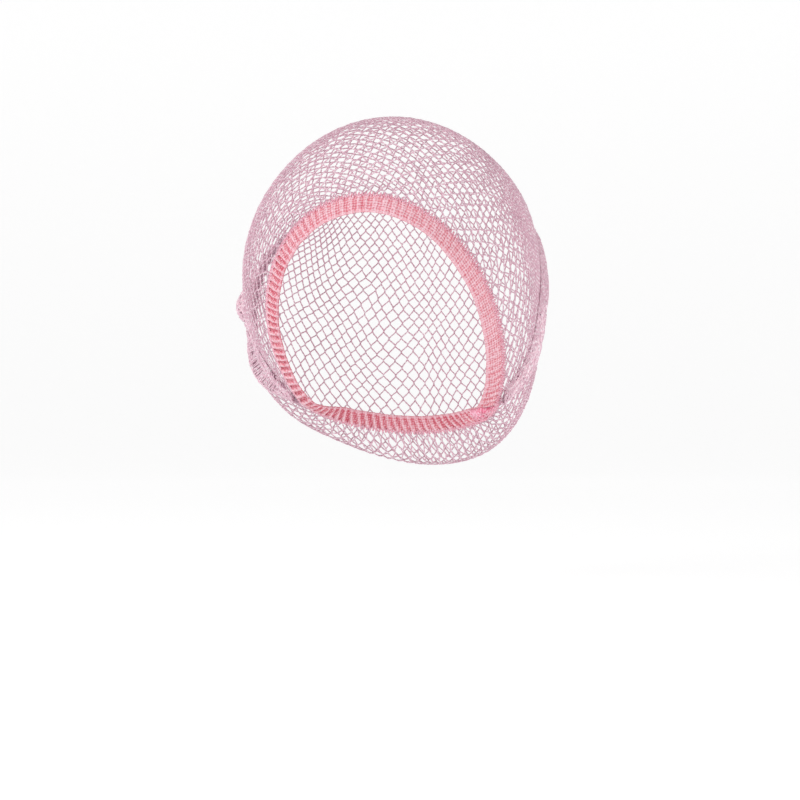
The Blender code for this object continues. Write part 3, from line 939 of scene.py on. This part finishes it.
def join_yarn():
    """Loose loops of yarn over the bunch."""
    tubes = Tubes(5)
    generator = np.random.default_rng(5)
    t = np.linspace(0, 1, 14)
    for k in range(JOIN_LOOPS):
        start = generator.uniform(0, 0.82)
        along = np.clip(start + generator.uniform(0.04, 0.16) * t, 0, 1)
        x = np.clip(generator.uniform(-0.9, 0.5) + t * generator.uniform(0.3, 1.0), -0.95, 1.4)
        points, outward, away = along_loop(LEFT_CORNER + JOIN_START + along * JOIN_LENGTH)
        half = spline(JOIN_ROWS, 2, along) * BAND_WIDTH / 2
        rise = spline(JOIN_ROWS, 1, along) * linear(JOIN_SECTION, 1, x)
        height = JOIN_FOOT + JOIN_HEIGHT * rise + 0.0004 + 0.0005 * np.sin(math.pi * t)
        path = points + away * (JOIN_MIDDLE + x * half)[:, None] + outward * height[:, None]
        tubes.add(path, outward, JOIN_LOOP_RADIUS, 0.85, phase=k * 0.7)
    made = tubes.build("band_join_loops")
    made.data.materials.append(BAND_YARN)
    return made


join = join_folds()
join_loops = join_yarn()


# What stands for which solid, and the cloth

for piece in (net_front, net_back):
    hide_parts("crown_net")
for piece in (band, stitching):
    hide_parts("elastic_band")
for piece in (join, join_loops):
    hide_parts("band_join")
for piece in (left_core, left_strands, left_loops):
    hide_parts("side_gather_left")
for piece in (right_core, right_strands, tuft):
    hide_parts("side_gather_right")
for piece in (net_front, net_back, band, stitching, join, join_loops, left_core, left_strands, left_loops):
    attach(piece, "root")
for piece in (right_core, right_strands, tuft):
    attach(piece, "root")


# Floor, light and camera

LAMP_TARGET = (0.0, 0.0, -0.11)
VIEW_TURN = math.radians(15)    # of the camera, from the front towards the wearer's left
VIEW_DISTANCE = 1.1
VIEW_ASIDE = 0.006
VIEW_HEIGHT = -0.174
FOCAL_PIXELS = 1774
FRAME_PIXELS = 800
SENSOR_WIDTH = 36


def studio():
    """A pale floor that curves up all round into a low wall, soft lamps and an even sky."""
    scene = bpy.context.scene
    floor_level = -0.300
    level_radius, bend, wall_top, turns = 1.7, 0.9, 1.2, 96
    climb = np.linspace(0, math.pi / 2, 25)
    profile = [(level_radius - 0.1, 0.0)]
    profile += [(level_radius + bend * math.sin(t), bend * (1 - math.cos(t))) for t in climb]
    profile.append((level_radius + bend, wall_top))
    angles = np.arange(turns) * 2 * math.pi / turns
    points = [
        (radius * math.cos(angle), radius * math.sin(angle), floor_level + rise)
        for radius, rise in profile for angle in angles
    ]
    quads = loft_faces(len(profile), turns, False)[:, ::-1].tolist()
    quads.append(list(range(turns)))
    mesh = bpy.data.meshes.new("floor")
    mesh.from_pydata(points, [], quads)
    floor = bpy.data.objects.new("floor", mesh)
    scene.collection.objects.link(floor)
    mesh.shade_smooth()
    material, *_, shader = new_material("floor")
    shader.inputs["Base Color"].default_value = (0.40, 0.40, 0.40, 1)
    shader.inputs["Roughness"].default_value = 0.9
    shader.inputs["Emission Color"].default_value = (1, 1, 1, 1)
    shader.inputs["Emission Strength"].default_value = 0.67
    mesh.materials.append(material)
    world = bpy.data.worlds.new("studio")
    scene.world = world
    scene.view_settings.view_transform = "Standard"
    world.use_nodes = True
    background = world.node_tree.nodes["Background"]
    background.inputs["Color"].default_value = (1, 1, 1, 1)
    background.inputs["Strength"].default_value = 0.42
    # name, place, size in metres, watts
    lamps = (
        ("key", (-0.85, -1.05, 0.60), 0.6, 8.5),
        ("fill", (1.15, -0.75, 0.15), 1.0, 4),
        ("top", (0.0, 0.2, 1.3), 1.0, 3),
    )
    for name, place, size, power in lamps:
        data = bpy.data.lights.new(name, "AREA")
        data.shape = "DISK"
        data.size = size
        data.energy = power
        lamp = bpy.data.objects.new(name, data)
        lamp.location = place
        towards = Vector(LAMP_TARGET) - Vector(place)
        lamp.rotation_euler = towards.to_track_quat("-Z", "Y").to_euler()
        scene.collection.objects.link(lamp)


def camera():
    turn = VIEW_TURN
    aim = Vector((VIEW_ASIDE * math.cos(turn), VIEW_ASIDE * math.sin(turn), VIEW_HEIGHT))
    place = aim - VIEW_DISTANCE * Vector((-math.sin(turn), math.cos(turn), 0))
    data = bpy.data.cameras.new("camera")
    data.sensor_width = SENSOR_WIDTH
    data.lens = FOCAL_PIXELS / FRAME_PIXELS * SENSOR_WIDTH
    data.clip_start = 0.01
    made = bpy.data.objects.new("camera", data)
    made.location = place
    made.rotation_euler = (aim - place).to_track_quat("-Z", "Y").to_euler()
    bpy.context.scene.collection.objects.link(made)
    bpy.context.scene.camera = made


studio()
camera()

bpy.context.view_layer.update()
